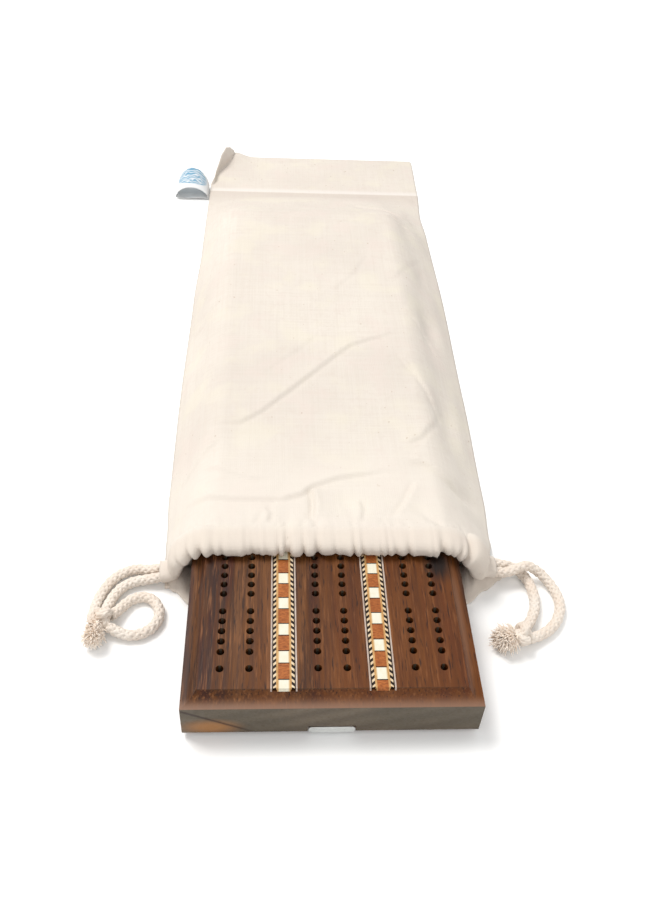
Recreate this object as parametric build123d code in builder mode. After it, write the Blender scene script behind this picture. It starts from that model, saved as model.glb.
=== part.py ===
"""Three-track walnut cribbage board, partly inside its muslin drawstring bag.

Frame: millimetres, +Z up, +Y along the board towards the closed end of the bag.
The origin lies on the table, under the middle of the board.
"""
import os
from math import pi, radians, sqrt, tan

from build123d import *

os.makedirs("parts", exist_ok=True)

# ---------------------------------------------------------------- board
BOARD_LENGTH = 368.3
BOARD_WIDTH = 114.3
BOARD_THICKNESS = 20.6
BOARD_FLOAT = 2.6  # the bag's lower hem holds the board this far off the table
BOARD_TOP = BOARD_FLOAT + BOARD_THICKNESS
NEAR_END = -BOARD_LENGTH / 2
HALF_WIDTH = BOARD_WIDTH / 2

COVE_RADIUS = 6.35  # quarter-inch cove cutter
COVE_DEPTH = 4.2
COVE_AXIS_Z = BOARD_TOP + COVE_RADIUS - COVE_DEPTH

# ---------------------------------------------------------------- peg holes
HOLE_DIAMETER = 3.05
HOLE_DEPTH = 9.5
HOLE_PITCH = 4.7625  # three sixteenths of an inch
GROUP_SIZE = 5
GROUP_COUNT = 12
GROUP_GAP = 8.67
START_GAP = 7.5
TRACK_SPACING = 37.3
COLUMN_SPACING = 11.1125

# ---------------------------------------------------------------- banding
BAND_CENTRE = 18.6
BAND_DEPTH = 1.2
STRINGING_WIDTH = 0.6
ROPE_WIDTH = 1.95
AMBER_WIDTH = 0.35
TILE_WIDTH = 4.3
BAND_WIDTH = TILE_WIDTH + 2 * (AMBER_WIDTH + ROPE_WIDTH + STRINGING_WIDTH)
TILE_PERIOD = 12.7
IVORY_LENGTH = 5.1
FILLET_LENGTH = 0.45
BROWN_LENGTH = TILE_PERIOD - IVORY_LENGTH - 2 * FILLET_LENGTH
FIRST_IVORY = {"left": -177.1, "right": -172.0}
BAND_X = {"left": -BAND_CENTRE, "right": BAND_CENTRE}
BAND_END = BOARD_LENGTH / 2 - sqrt(COVE_RADIUS**2 - (COVE_AXIS_Z - BOARD_TOP + BAND_DEPTH) ** 2)

# ---------------------------------------------------------------- peg bay and cover
BAY_WIDTH = 13.6
BAY_HEIGHT = 6.9
BAY_NEAR = NEAR_END + 10.0
BAY_FAR = BAY_NEAR + 112.0
COVER_WIDTH = 17.4
COVER_THICKNESS = 1.0
COVER_FAR = BAY_FAR + 2.0
SLOT_WIDTH = COVER_WIDTH + 0.4
SLOT_HEIGHT = 1.2
SLOT_Z = BOARD_FLOAT + 0.9
COVER_Z = SLOT_Z + 0.1
LIP_WIDTH = 17.7
LIP_HEIGHT = 3.9
LIP_DROP = 1.0
LIP_THICKNESS = 1.5
NOTCH_WIDTH = LIP_WIDTH + 0.8
NOTCH_HEIGHT = LIP_HEIGHT - LIP_DROP + 0.7
NOTCH_DEPTH = LIP_THICKNESS + 0.2
LIP_CORNER = 1.3

# ---------------------------------------------------------------- pegs
PEG_LENGTH = 31.75
PEG_HEAD_LENGTH = 11.0
PEG_HEAD_RADIUS = 1.95
PEG_NECK_RADIUS = 1.2
PEG_SHANK_RADIUS = 1.42
PEG_TIP_RADIUS = 1.1
PEG_SPACING = 4.4
PEG_END_GAP = 0.3
PEG_START = BAY_NEAR + 0.5
PEG_Z = COVER_Z + COVER_THICKNESS + 0.3 + PEG_HEAD_RADIUS

# ---------------------------------------------------------------- bag
CLOTH = 0.8
LOWER_CLOTH = 0.7
CLOTH_GAP = 0.3
BAG_LEFT = -72.5
BAG_RIGHT = 83.0
SEAM = 1.0
CASING_DEPTH = 13.0
CASING_FAR = -102.0
CASING_Y = CASING_FAR - CASING_DEPTH / 2
CASING_THICKNESS = 5.6
CASING_WALL = 0.35
LOWER_CASING_HEIGHT = 2.3
SLOPE_START = BOARD_LENGTH / 2 - 5.0
SLOPE_EDGE = BOARD_LENGTH / 2 + 2.0
TAIL_START = 250.0
BAG_FAR = 306.0

# ---------------------------------------------------------------- drawcords
CORD_DIAMETER = 4.8
CORD_PAIR = 5.0  # spacing of the two cords inside a casing
PRESSED_CORD = (5.2, 1.6)  # width and height of a cord flattened under the board

CASING_PATH = [
    (-71.0, 5.4),
    (-65.5, 7.5),
    (-63.0, 18.0),
    (-54.5, 26.4),
    (54.5, 26.4),
    (63.0, 18.0),
    (66.0, 11.0),
    (75.0, 8.5),
]
CORD_NEAR_Y = CASING_Y - CORD_PAIR / 2
CORD_FAR_Y = CASING_Y + CORD_PAIR / 2

LEFT_STRAND_A = [
    (-71.0, CORD_FAR_Y, 5.4),
    (-76.5, CORD_FAR_Y, 3.3),
    (-82.8, -104.4, 2.6),
    (-88.8, -106.6, 2.6),
    (-93.6, -111.6, 2.6),
    (-96.6, -118.2, 2.6),
    (-98.2, -124.8, 2.7),
    (-98.0, -130.4, 3.8),
]
LEFT_STRAND_B = [
    (-71.0, CORD_NEAR_Y, 5.4),
    (-76.4, CORD_NEAR_Y, 3.34),
    (-82.2, -111.4, 2.7),
    (-87.4, -113.8, 2.6),
    (-90.9, -118.9, 2.6),
    (-92.8, -124.3, 2.7),
    (-93.8, -129.4, 3.8),
]
LEFT_RING = [
    (-90.4, -131.6, 5.0),
    (-87.4, -126.8, 3.2),
    (-84.4, -122.0, 2.6),
    (-79.3, -119.6, 2.6),
    (-74.2, -121.2, 2.6),
    (-71.1, -125.8, 2.6),
    (-70.6, -131.4, 2.6),
    (-73.2, -136.5, 2.6),
    (-77.9, -139.4, 2.6),
    (-83.0, -139.9, 2.8),
    (-87.2, -138.6, 3.6),
    (-91.0, -136.9, 4.8),
]
RIGHT_STRAND_C = [
    (75.0, CORD_NEAR_Y, 8.5),
    (80.0, CORD_NEAR_Y, 7.111),
    (84.8, -109.6, 8.2),
    (90.3, -107.4, 8.9),
    (95.9, -108.6, 5.9),
    (100.2, -112.4, 3.4),
    (102.8, -118.0, 2.6),
    (103.3, -124.3, 2.6),
    (101.4, -130.8, 2.6),
    (97.4, -136.6, 2.6),
    (91.6, -141.0, 2.8),
    (85.2, -143.8, 4.0),
]
RIGHT_STRAND_D = [
    (75.0, CORD_FAR_Y, 8.5),
    (80.2, CORD_FAR_Y, 7.056),
    (84.6, -105.4, 4.9),
    (88.6, -107.0, 3.1),
    (91.2, -110.7, 2.6),
    (92.1, -115.6, 2.6),
    (92.5, -121.6, 2.6),
    (91.2, -127.6, 2.6),
    (88.2, -133.6, 2.8),
    (84.0, -139.2, 4.0),
]

KNOT_RADIUS = 6.0
KNOT_CUT = 4.0  # where the tuft starts, from the knot's middle
TUFT_LENGTH = 9.0
TUFT_ROOT = 4.4
TUFT_TIP = (7.2, 5.8)  # half width and half height of the tuft's end
LEFT_KNOT = (-95.0, -134.4, KNOT_RADIUS)
RIGHT_KNOT = (80.4, -143.0, KNOT_RADIUS)
LEFT_TUFT_DIRECTION = (-0.3, -1.0, 0.0)
RIGHT_TUFT_DIRECTION = (-1.0, -0.2, 0.0)

# ---------------------------------------------------------------- seam label
LABEL_LENGTH = 20.5
LABEL_WIDTH = 18.0
LABEL_Y = 246.0
LABEL_RISE = 7.0
LABEL_LEAF = 0.5


def save(piece, node):
    """Label one finished piece and write it as its own STEP file."""
    piece.part.label = node
    export_step(piece.part, f"parts/{node}.step")


def cove_cutters(sides):
    """Cut the cove that runs round the top, at the ends and, if asked, along the sides."""
    for end in (-1, 1):
        with Locations(Location((0, end * BOARD_LENGTH / 2, COVE_AXIS_Z), (0, 90, 0))):
            Cylinder(COVE_RADIUS, BOARD_WIDTH + 20, mode=Mode.SUBTRACT)
        if sides:
            with Locations(Location((end * HALF_WIDTH, 0, COVE_AXIS_Z), (90, 0, 0))):
                Cylinder(COVE_RADIUS, BOARD_LENGTH + 20, mode=Mode.SUBTRACT)


def hole_rows():
    """Y of every row of peg holes, one single hole at each end and twelve groups between."""
    group_length = (GROUP_SIZE - 1) * HOLE_PITCH
    total = 2 * START_GAP + GROUP_COUNT * group_length + (GROUP_COUNT - 1) * GROUP_GAP
    rows = [-total / 2, total / 2]
    for group in range(GROUP_COUNT):
        first = -total / 2 + START_GAP + group * (group_length + GROUP_GAP)
        rows += [first + hole * HOLE_PITCH for hole in range(GROUP_SIZE)]
    return rows


def hole_columns():
    """X of the six columns of peg holes, two to a track."""
    tracks = (-TRACK_SPACING, 0, TRACK_SPACING)
    return [track + side * COLUMN_SPACING / 2 for track in tracks for side in (-1, 1)]


# ================================================================ board body
with BuildPart() as board_body:
    with Locations((0, 0, BOARD_FLOAT)):
        Box(BOARD_WIDTH, BOARD_LENGTH, BOARD_THICKNESS, align=(Align.CENTER, Align.CENTER, Align.MIN))
    cove_cutters(sides=True)
    with BuildSketch(Plane.XY.offset(BOARD_TOP)):
        with Locations(*[(x, 0) for x in BAND_X.values()]):
            Rectangle(BAND_WIDTH, BOARD_LENGTH)
    extrude(amount=-BAND_DEPTH, mode=Mode.SUBTRACT)
    with BuildSketch(Plane.XY.offset(BOARD_TOP)):
        with Locations(*[(x, y) for x in hole_columns() for y in hole_rows()]):
            Circle(HOLE_DIAMETER / 2)
    extrude(amount=-HOLE_DEPTH, mode=Mode.SUBTRACT)
    with Locations((0, BAY_NEAR, BOARD_FLOAT)):
        Box(BAY_WIDTH, BAY_FAR - BAY_NEAR, BAY_HEIGHT,
            align=(Align.CENTER, Align.MIN, Align.MIN), mode=Mode.SUBTRACT)
    with Locations((0, NEAR_END, SLOT_Z)):
        Box(SLOT_WIDTH, COVER_FAR + 0.5 - NEAR_END, SLOT_HEIGHT,
            align=(Align.CENTER, Align.MIN, Align.MIN), mode=Mode.SUBTRACT)
    with Locations((0, NEAR_END, BOARD_FLOAT)):
        Box(NOTCH_WIDTH, NOTCH_DEPTH, NOTCH_HEIGHT,
            align=(Align.CENTER, Align.MIN, Align.MIN), mode=Mode.SUBTRACT)
save(board_body, "board_body")


# ================================================================ bandings
def lines_beside_tiles(inner, width):
    """Two full-length lines of one wood, one each side of the row of tiles."""
    with BuildSketch(Plane.XY.offset(BOARD_TOP - BAND_DEPTH)) as outline:
        with Locations(*[(BAND_X[side] + sign * (inner + width / 2), 0) for sign in (-1, 1)]):
            Rectangle(width, 2 * BAND_END)
    extrude(outline.sketch, amount=BAND_DEPTH)
    cove_cutters(sides=False)


def tiles(offset, length):
    """A row of tiles, one to each period; the end ones are cut short by the groove's ends."""
    first = FIRST_IVORY[side] + offset - TILE_PERIOD
    spans = []
    for index in range(int(BOARD_LENGTH / TILE_PERIOD) + 3):
        near = max(first + index * TILE_PERIOD - length / 2, -BAND_END)
        far = min(first + index * TILE_PERIOD + length / 2, BAND_END)
        if far - near > 0.5 * FILLET_LENGTH:
            spans.append((near, far))
    with BuildSketch(Plane.XY.offset(BOARD_TOP - BAND_DEPTH)) as outline:
        for near, far in spans:
            with Locations((BAND_X[side], (near + far) / 2)):
                Rectangle(TILE_WIDTH, far - near)
    extrude(outline.sketch, amount=BAND_DEPTH)
    cove_cutters(sides=False)


for side in ("left", "right"):
    half_tile = TILE_WIDTH / 2
    with BuildPart() as amber_lines:
        lines_beside_tiles(half_tile, AMBER_WIDTH)
    save(amber_lines, f"{side}_amber_lines")

    with BuildPart() as rope_bands:
        lines_beside_tiles(half_tile + AMBER_WIDTH, ROPE_WIDTH)
    save(rope_bands, f"{side}_rope_bands")

    with BuildPart() as stringing:
        lines_beside_tiles(half_tile + AMBER_WIDTH + ROPE_WIDTH, STRINGING_WIDTH)
    save(stringing, f"{side}_stringing")

    with BuildPart() as ivory_tiles:
        tiles(0, IVORY_LENGTH)
    save(ivory_tiles, f"{side}_ivory_tiles")

    with BuildPart() as brown_tiles:
        tiles(TILE_PERIOD / 2, BROWN_LENGTH)
    save(brown_tiles, f"{side}_brown_tiles")

    with BuildPart() as dark_fillets:
        for end in (-1, 1):
            tiles(end * (IVORY_LENGTH + FILLET_LENGTH) / 2, FILLET_LENGTH)
    save(dark_fillets, f"{side}_dark_fillets")


# ================================================================ peg cover
with BuildPart() as peg_cover:
    with Locations((0, NEAR_END + LIP_THICKNESS / 2, COVER_Z)):
        Box(COVER_WIDTH, COVER_FAR - NEAR_END - LIP_THICKNESS / 2, COVER_THICKNESS,
            align=(Align.CENTER, Align.MIN, Align.MIN))
    with BuildSketch(Plane.XZ.offset(-NEAR_END)):
        with Locations((0, BOARD_FLOAT - LIP_DROP + LIP_HEIGHT / 2)):
            RectangleRounded(LIP_WIDTH, LIP_HEIGHT, LIP_CORNER)
    extrude(amount=-LIP_THICKNESS)
save(peg_cover, "peg_cover")


# ================================================================ pegs
PEG_FINISHES = ("brass", "nickel", "black")
for row, finish in enumerate(PEG_FINISHES):
    for column in range(3):
        peg_x = (row - 1) * PEG_SPACING
        peg_y = PEG_START + column * (PEG_LENGTH + PEG_END_GAP)
        peg_plane = Plane(origin=(peg_x, peg_y, PEG_Z), x_dir=(0, 1, 0), z_dir=(1, 0, 0))
        with BuildPart() as peg:
            with BuildSketch(peg_plane):
                with BuildLine():
                    Polyline(
                        (0, 0),
                        (0, PEG_HEAD_RADIUS - 0.5),
                        (0.5, PEG_HEAD_RADIUS),
                        (PEG_HEAD_LENGTH - 3.2, PEG_HEAD_RADIUS),
                        (PEG_HEAD_LENGTH - 2.8, PEG_NECK_RADIUS),
                        (PEG_HEAD_LENGTH - 1.6, PEG_NECK_RADIUS),
                        (PEG_HEAD_LENGTH - 1.2, PEG_HEAD_RADIUS),
                        (PEG_HEAD_LENGTH, PEG_HEAD_RADIUS),
                        (PEG_HEAD_LENGTH, PEG_SHANK_RADIUS),
                        (PEG_LENGTH - 0.6, PEG_TIP_RADIUS),
                        (PEG_LENGTH, PEG_TIP_RADIUS - 0.5),
                        (PEG_LENGTH, 0),
                        close=True,
                    )
                make_face()
            revolve(axis=Axis((peg_x, peg_y, PEG_Z), (0, 1, 0)))
        save(peg, f"peg_{finish}_{column + 1}")


# ================================================================ bag panels
def tent_section(y, lift):
    """One cross-section of the upper panel: over the board at lift 1, flat on the table at 0."""
    crest = BOARD_TOP + CLOTH_GAP
    shoulder = crest - 3.7
    under = [(-58.2, shoulder), (-51.6, crest), (51.6, crest), (58.2, shoulder)]
    over = [(58.9, shoulder), (51.9, crest), (-51.9, crest), (-58.9, shoulder)]

    def lifted(points, extra):
        return [(x, LOWER_CLOTH + lift * (z - LOWER_CLOTH) + extra) for x, z in points]

    with BuildSketch(Plane.XZ.offset(-y)) as section:
        with BuildLine():
            Polyline(
                (BAG_LEFT, LOWER_CLOTH),
                *lifted(under, 0),
                (BAG_RIGHT, LOWER_CLOTH),
                (BAG_RIGHT + SEAM, LOWER_CLOTH),
                *lifted(over, CLOTH),
                (BAG_LEFT - SEAM, LOWER_CLOTH),
                close=True,
            )
        make_face()
    return section.sketch


TENT_PROFILE = [(CASING_FAR, 1), (SLOPE_START, 1), (SLOPE_EDGE, 0.94), (TAIL_START, 0.02)]
with BuildPart() as bag_top_panel:
    for start, end in zip(TENT_PROFILE, TENT_PROFILE[1:]):
        loft([tent_section(*start), tent_section(*end)], ruled=True)
    with Locations(((BAG_LEFT + BAG_RIGHT) / 2, TAIL_START, LOWER_CLOTH)):
        Box(BAG_RIGHT - BAG_LEFT + 2 * SEAM, BAG_FAR - TAIL_START, CLOTH,
            align=(Align.CENTER, Align.MIN, Align.MIN))
save(bag_top_panel, "bag_top_panel")

with BuildPart() as bag_bottom_panel:
    with Locations(((BAG_LEFT + BAG_RIGHT) / 2, CASING_FAR, 0)):
        Box(BAG_RIGHT - BAG_LEFT + 2 * SEAM, BAG_FAR - CASING_FAR, LOWER_CLOTH,
            align=(Align.CENTER, Align.MIN, Align.MIN))
save(bag_bottom_panel, "bag_bottom_panel")


# ================================================================ casings and the cords in them
def corner_radii(points):
    """Largest arc at each corner that its two runs allow, 0.45 of the shorter run."""
    corners = [Vector(*point) for point in points]
    radii = []
    for before, here, after in zip(corners, corners[1:], corners[2:]):
        turn = (here - before).get_angle(after - here)
        shorter = min((here - before).length, (after - here).length)
        radii.append(0.45 * shorter / tan(radians(turn) / 2))
    return radii


def casing_route(y):
    return [(x, y, z) for x, z in CASING_PATH]


CASING_RADII = [min(radius, 12.0) for radius in corner_radii(casing_route(0))]


def swept_casing(width, thickness, mode=Mode.ADD):
    """Sweep a rectangle along the upper casing, from one cord exit to the other."""
    with BuildLine() as route:
        FilletPolyline(*casing_route(CASING_Y), radius=CASING_RADII)
    start = Plane(origin=route.wire() @ 0, x_dir=(0, 1, 0), z_dir=route.wire() % 0)
    with BuildSketch(start) as section:
        Rectangle(width, thickness)
    sweep(section.sketch, path=route.wire(), mode=mode)


with BuildPart() as bag_upper_casing:
    swept_casing(CASING_DEPTH, CASING_THICKNESS)
    swept_casing(2 * CORD_PAIR + 0.4, CASING_THICKNESS - 2 * CASING_WALL, mode=Mode.SUBTRACT)
save(bag_upper_casing, "bag_upper_casing")

LOWER_CASING_LENGTH = 142.0
with BuildPart() as bag_lower_casing:
    with Locations((1, CASING_Y, LOWER_CASING_HEIGHT / 2)):
        Box(LOWER_CASING_LENGTH, CASING_DEPTH, LOWER_CASING_HEIGHT)
        Box(LOWER_CASING_LENGTH, 2 * CORD_PAIR + 0.8, PRESSED_CORD[1] + 0.1, mode=Mode.SUBTRACT)
save(bag_lower_casing, "bag_lower_casing")

with BuildPart() as pressed_drawcords:
    for cord_y in (CORD_NEAR_Y - 0.15, CORD_FAR_Y + 0.15):
        with Locations((1, cord_y, LOWER_CASING_HEIGHT / 2)):
            Box(LOWER_CASING_LENGTH, PRESSED_CORD[0], PRESSED_CORD[1])
save(pressed_drawcords, "pressed_drawcords")


# ================================================================ free drawcord strands
def cord_tube(points, radii):
    """A round cord along straight runs and tangent arcs."""
    with BuildLine() as route:
        FilletPolyline(*points, radius=radii)
    with BuildSketch(Plane(origin=route.wire() @ 0, z_dir=route.wire() % 0)) as section:
        Circle(CORD_DIAMETER / 2)
    sweep(section.sketch, path=route.wire())
    return route.wire().length


with BuildPart() as cased_drawcords:
    for cord_y in (CORD_NEAR_Y, CORD_FAR_Y):
        cord_tube(casing_route(cord_y), CASING_RADII)
save(cased_drawcords, "cased_drawcords")

STRANDS = {
    "left_strand_a": LEFT_STRAND_A,
    "left_strand_b": LEFT_STRAND_B,
    "left_ring": LEFT_RING,
    "right_strand_c": RIGHT_STRAND_C,
    "right_strand_d": RIGHT_STRAND_D,
}
CORD_SECTION = pi * CORD_DIAMETER**2 / 4
for node, points in STRANDS.items():
    strand_radii = corner_radii(points)
    with BuildPart() as strand:
        strand_length = cord_tube(points, strand_radii)
    save(strand, node)
    print(node, "length", round(strand_length, 1), "radii", [round(radius, 1) for radius in strand_radii],
          "volume ratio", round(strand.part.volume / (CORD_SECTION * strand_length), 4))


def knot_and_tuft(side, centre, direction):
    """A round knot with a flat on the side where the cut cord ends fray out of it."""
    along = Vector(*direction).normalized()
    root = Plane(origin=Vector(*centre) + along * KNOT_CUT, x_dir=along.cross(Vector(0, 0, 1)), z_dir=along)
    with BuildPart() as knot:
        with Locations(centre):
            Sphere(KNOT_RADIUS)
        split(bisect_by=root, keep=Keep.BOTTOM)
    save(knot, f"{side}_knot")
    with BuildPart() as tuft:
        with BuildSketch(root):
            Circle(TUFT_ROOT)
        with BuildSketch(root.offset(TUFT_LENGTH)):
            Ellipse(*TUFT_TIP)
        loft()
    save(tuft, f"{side}_tuft")


knot_and_tuft("left", LEFT_KNOT, LEFT_TUFT_DIRECTION)
knot_and_tuft("right", RIGHT_KNOT, RIGHT_TUFT_DIRECTION)


# ================================================================ seam label
with BuildPart() as seam_label:
    label_root = BAG_LEFT - SEAM
    with BuildSketch(Plane.XZ.offset(-(LABEL_Y - LABEL_WIDTH / 2))):
        with BuildLine():
            Polyline(
                (label_root, LOWER_CLOTH),
                (label_root - LABEL_LENGTH, LOWER_CLOTH + 1.0),
                (label_root - LABEL_LENGTH, LOWER_CLOTH + 1.0 + 2 * LABEL_LEAF),
                (label_root - LABEL_LENGTH / 2, LOWER_CLOTH + LABEL_RISE),
                (label_root, LOWER_CLOTH + 2 * LABEL_LEAF),
                close=True,
            )
        make_face()
    extrude(amount=-LABEL_WIDTH)
save(seam_label, "seam_label")
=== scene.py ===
"""Looks of the walnut cribbage board in its muslin drawstring bag.

Shapes are worked out in millimetres in the row frame, and turned into metres as each mesh is made.
"""
import random
from math import cos, exp, pi, radians, sin, sqrt, tan, tau

import bpy
from mathutils import Matrix, Vector, noise


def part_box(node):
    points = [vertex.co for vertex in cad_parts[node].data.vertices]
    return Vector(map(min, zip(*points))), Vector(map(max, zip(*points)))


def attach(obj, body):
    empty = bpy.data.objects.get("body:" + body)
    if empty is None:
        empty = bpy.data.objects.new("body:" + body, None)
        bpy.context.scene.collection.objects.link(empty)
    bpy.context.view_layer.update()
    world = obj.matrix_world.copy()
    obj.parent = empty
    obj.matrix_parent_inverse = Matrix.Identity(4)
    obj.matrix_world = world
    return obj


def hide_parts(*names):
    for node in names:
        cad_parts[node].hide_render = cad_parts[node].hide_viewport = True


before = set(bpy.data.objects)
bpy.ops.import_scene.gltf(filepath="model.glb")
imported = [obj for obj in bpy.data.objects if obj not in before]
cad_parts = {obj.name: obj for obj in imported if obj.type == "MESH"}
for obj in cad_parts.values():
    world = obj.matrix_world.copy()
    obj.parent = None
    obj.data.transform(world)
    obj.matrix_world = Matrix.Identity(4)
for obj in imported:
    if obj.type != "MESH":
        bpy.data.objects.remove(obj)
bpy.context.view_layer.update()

MM = 0.001
RNG = random.Random(29)


def node_box(node):
    """Lowest and highest corner of a CAD node, in millimetres."""
    low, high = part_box(node)
    return [value / MM for value in low], [value / MM for value in high]


def middle_of(node):
    return Vector([(low + high) / 2 for low, high in zip(*node_box(node))])


def add_object(name, data):
    thing = bpy.data.objects.new(name, data)
    bpy.context.scene.collection.objects.link(thing)
    return thing


BOARD_LOW, BOARD_HIGH = node_box("board_body")
BOARD_TOP = BOARD_HIGH[2]
NEAR_END = BOARD_LOW[1]
FAR_END = BOARD_HIGH[1]
SIDE = BOARD_HIGH[0]


# ================================================================ camera, light, floor
def add_camera():
    pitch, yaw, roll = radians(43.26), radians(5.07), radians(3.9)
    place = Vector((-23.7, -360.8, BOARD_TOP + 294.7)) * MM
    forward = Vector((sin(yaw) * cos(pitch), cos(yaw) * cos(pitch), -sin(pitch)))
    level = Vector((cos(yaw), -sin(yaw), 0))
    above = level.cross(forward)
    right = level * cos(roll) + above * sin(roll)
    up = above * cos(roll) - level * sin(roll)
    data = bpy.data.cameras.new("camera")
    data.lens = 36
    data.sensor_width = 36
    data.clip_start = 0.01
    camera = add_object("camera", data)
    camera.matrix_world = Matrix((
        (right.x, up.x, -forward.x, place.x),
        (right.y, up.y, -forward.y, place.y),
        (right.z, up.z, -forward.z, place.z),
        (0, 0, 0, 1),
    ))
    bpy.context.scene.camera = camera


def add_area_light(name, place, target, size, power, colour):
    data = bpy.data.lights.new(name, "AREA")
    data.size = size
    data.energy = power
    data.color = colour
    light = add_object(name, data)
    light.location = place
    light.rotation_euler = (Vector(target) - Vector(place)).to_track_quat("-Z", "Y").to_euler()


def add_studio():
    add_area_light("key", (-0.62, 0.40, 1.38), (0, 0, 0), 0.7, 19.5, (1.0, 0.985, 0.97))
    add_area_light("front_fill", (0.4, -1.2, 1.0), (0, 0, 0), 1.2, 4.0, (0.98, 0.99, 1.0))
    world = bpy.data.worlds.new("studio")
    world.use_nodes = True
    background = world.node_tree.nodes["Background"]
    background.inputs["Color"].default_value = (1.0, 1.0, 1.0, 1)
    background.inputs["Strength"].default_value = 0.74
    bpy.context.scene.world = world
    bpy.context.scene.view_settings.view_transform = "Standard"
    bpy.context.scene.view_settings.look = "None"


# ================================================================ shader helpers
LIGHT_LEVEL = 1.42


def seen(red, green, blue, gloss=0.0):
    """The surface colour that shows as these 0 to 255 screen values on a level surface in this light.

    gloss is the light that the surface's shine adds on top.
    """
    channels = [value / 255 for value in (red, green, blue)]
    shown = [c / 12.92 if c <= 0.04045 else ((c + 0.055) / 1.055) ** 2.4 for c in channels]
    return tuple(max(c - gloss, 0.002) / LIGHT_LEVEL for c in shown) + (1.0,)


class Shader:
    """One material's node tree, with short calls for the nodes that the materials here share."""

    def __init__(self, name, roughness, metallic=0.0, specular=0.5):
        self.material = bpy.data.materials.new(name)
        self.material.use_nodes = True
        self.tree = self.material.node_tree
        self.surface = self.tree.nodes["Principled BSDF"]
        self.fill(self.surface, Roughness=roughness, Metallic=metallic, Specular_IOR_Level=specular)
        self.place = self.add("TexCoord").outputs["Object"]

    def feed(self, socket, value):
        """Set an input to a number or a colour, or link it to another node's output."""
        if isinstance(value, bpy.types.NodeSocket):
            self.tree.links.new(value, socket)
        else:
            socket.default_value = value

    def fill(self, node, **inputs):
        """Feed inputs by name, with _ for a space."""
        for name, value in inputs.items():
            self.feed(node.inputs[name.replace("_", " ")], value)

    def add(self, kind, **inputs):
        node = self.tree.nodes.new(f"ShaderNode{kind}")
        self.fill(node, **inputs)
        return node

    def stretched(self, scale, turn=(0, 0, 0), place=None):
        """Object position, scaled along each axis."""
        node = self.add("Mapping", Scale=scale, Rotation=turn, Vector=place or self.place)
        return node.outputs["Vector"]

    def noise(self, stretch, scale=1.0, detail=3.0, roughness=0.55, distortion=0.0):
        """Cloudy noise, with stretch cells in a metre along each axis."""
        node = self.add("TexNoise", Scale=scale, Detail=detail, Roughness=roughness, Distortion=distortion)
        self.fill(node, Vector=self.stretched(stretch))
        return node.outputs["Fac"]

    def wave(self, scale, axis, distortion=0.0, detail_scale=1.0, stretch=(1, 1, 1), turn=(0, 0, 0)):
        """Parallel bands across one axis."""
        node = self.add("TexWave", Scale=scale, Distortion=distortion, Detail_Scale=detail_scale)
        node.bands_direction = axis
        self.fill(node, Vector=self.stretched(stretch, turn))
        return node.outputs["Fac"]

    def ramp(self, value, *stops):
        """A colour for each value, from stops of (position, colour)."""
        node = self.add("ValToRGB", Fac=value)
        elements = node.color_ramp.elements
        while len(elements) < len(stops):
            elements.new(1.0)
        for element, (position, colour) in zip(elements, stops):
            element.position = position
            element.color = colour
        return node.outputs["Color"]

    def step(self, value, low, high, low_out=0.0, high_out=1.0):
        """Smooth change of a number from low_out to high_out as value goes from low to high."""
        node = self.add("MapRange", From_Min=low, From_Max=high, To_Min=low_out, To_Max=high_out)
        node.interpolation_type = "SMOOTHSTEP"
        self.fill(node, Value=value)
        return node.outputs["Result"]

    def maths(self, operation, first, second):
        node = self.add("Math")
        node.operation = operation
        for socket, value in zip(node.inputs, (first, second)):
            self.feed(socket, value)
        return node.outputs["Value"]

    def mix(self, factor, first, second, blend="MIX"):
        node = self.add("Mix")
        node.data_type = "RGBA"
        node.blend_type = blend
        self.fill(node, Factor=factor, A=first, B=second)
        return node.outputs["Result"]

    def tint(self, base, colour, mask, strength):
        """Lay a colour over another where the mask is 1."""
        return self.mix(self.maths("MULTIPLY", mask, strength), base, colour)

    def axes(self):
        node = self.add("SeparateXYZ", Vector=self.place)
        return node.outputs["X"], node.outputs["Y"], node.outputs["Z"]

    def colour(self, value):
        self.fill(self.surface, Base_Color=value)

    def roughness(self, value):
        self.fill(self.surface, Roughness=value)

    def bump(self, height, distance, strength=1.0):
        node = self.add("Bump", Distance=distance, Strength=strength, Height=height)
        self.fill(self.surface, Normal=node.outputs["Normal"])


# ================================================================ materials
def blob(shader, centre, size, soft=0.5):
    """A soft ellipsoidal spot, 1 in its middle and 0 outside; centre and size in millimetres."""
    moved = shader.add("VectorMath")
    moved.operation = "SUBTRACT"
    shader.feed(moved.inputs[0], shader.place)
    shader.feed(moved.inputs[1], [value * MM for value in centre])
    scaled = shader.stretched([1 / (value * MM) for value in size], place=moved.outputs["Vector"])
    length = shader.add("VectorMath")
    length.operation = "LENGTH"
    shader.feed(length.inputs[0], scaled)
    return shader.step(length.outputs["Value"], soft, 1.0, 1.0, 0.0)


def stripe(shader, axis, line, rise, fall):
    """1 beside a line across an axis and 0 elsewhere; rise and fall are its soft edges, in millimetres."""
    rise_from, rise_to, fall_from, fall_to = [(line + edge) * MM for edge in (*rise, *fall)]
    falling = shader.step(axis, fall_from, fall_to, 1.0, 0.0)
    return shader.maths("MULTIPLY", shader.step(axis, rise_from, rise_to), falling)


WOOD_GLOSS = 0.026


def wood_tone(red, green, blue):
    return seen(red, green, blue, WOOD_GLOSS)


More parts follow.
